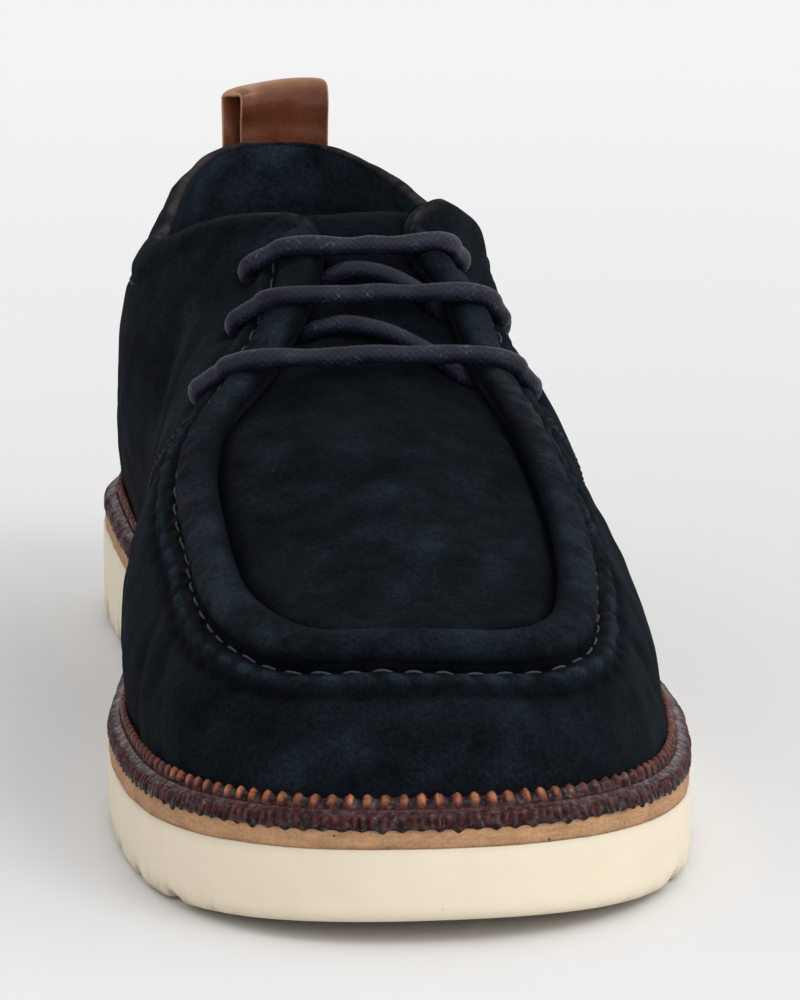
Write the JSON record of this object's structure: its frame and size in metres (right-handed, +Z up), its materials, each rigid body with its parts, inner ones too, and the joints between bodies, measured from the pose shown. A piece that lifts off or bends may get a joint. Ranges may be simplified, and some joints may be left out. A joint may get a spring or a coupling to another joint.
{
  "type": "derby shoe",
  "caption": "Suede moccasin-toe derby for the left foot: hollow laced upper on a storm welt, thin midsole and wedge sole with a saw-tooth tread, pull loop at the heel",
  "frame": {"origin": "on the ground under the middle of the shoe's length and width, where it stands on its sole", "axes": "+Z up, -Y towards the toe and +Y towards the heel, +X towards the outer side of the left foot"},
  "size_m": [0.1093, 0.3, 0.108],
  "materials": {
    "cream_rubber": "matt cream rubber with faint stains",
    "tan_sheet": "matt tan microcellular sheet with a fine grain",
    "burgundy_welt": "waxed dark burgundy leather, stitched and ridged",
    "footbed": "dark fine woven lining on a padded footbed",
    "navy_suede": "napped navy suede",
    "navy_cord": "round waxed woven lace",
    "brown_leather": "smooth chestnut leather with a low sheen"
  },
  "bodies": {
    "root": {"outsole": "cream_rubber", "midsole": "tan_sheet", "welt": "burgundy_welt", "insole": "footbed", "upper": "navy_suede", "apron_roll": "navy_suede", "tongue": "navy_suede", "lace_bar_low": "navy_cord", "lace_bar_middle": "navy_cord", "lace_bar_top": "navy_cord", "pull_loop": "brown_leather"}
  },
  "joints": []
}
